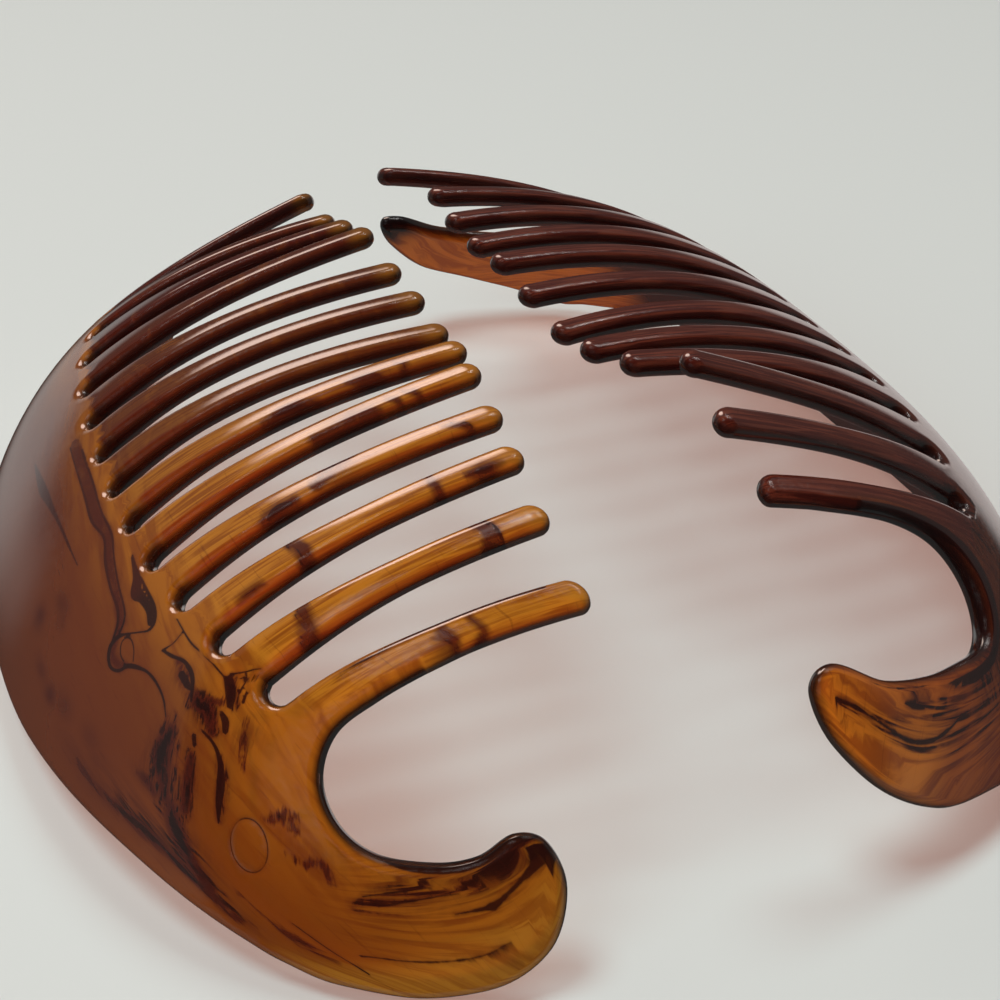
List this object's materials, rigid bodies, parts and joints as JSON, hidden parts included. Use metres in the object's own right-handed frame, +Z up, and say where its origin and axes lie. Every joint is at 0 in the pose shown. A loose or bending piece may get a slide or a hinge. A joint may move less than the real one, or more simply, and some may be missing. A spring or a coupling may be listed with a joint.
{
  "type": "banana hair clip",
  "caption": "Interlocking banana hair clip: two loose curved comb halves in translucent tortoiseshell plastic, laid apart.",
  "frame": {"origin": "centre of the bounding box at the table surface", "axes": "+Y along the clip from the near hooks to the far hooks, +X from the left half to the right half, +Z up"},
  "size_m": [0.0952, 0.1072, 0.0328],
  "materials": {
    "left_tortoiseshell": "gloss",
    "right_tortoiseshell": "gloss"
  },
  "bodies": {
    "root": {"left_comb": "left_tortoiseshell", "right_comb": "right_tortoiseshell"}
  },
  "joints": []
}
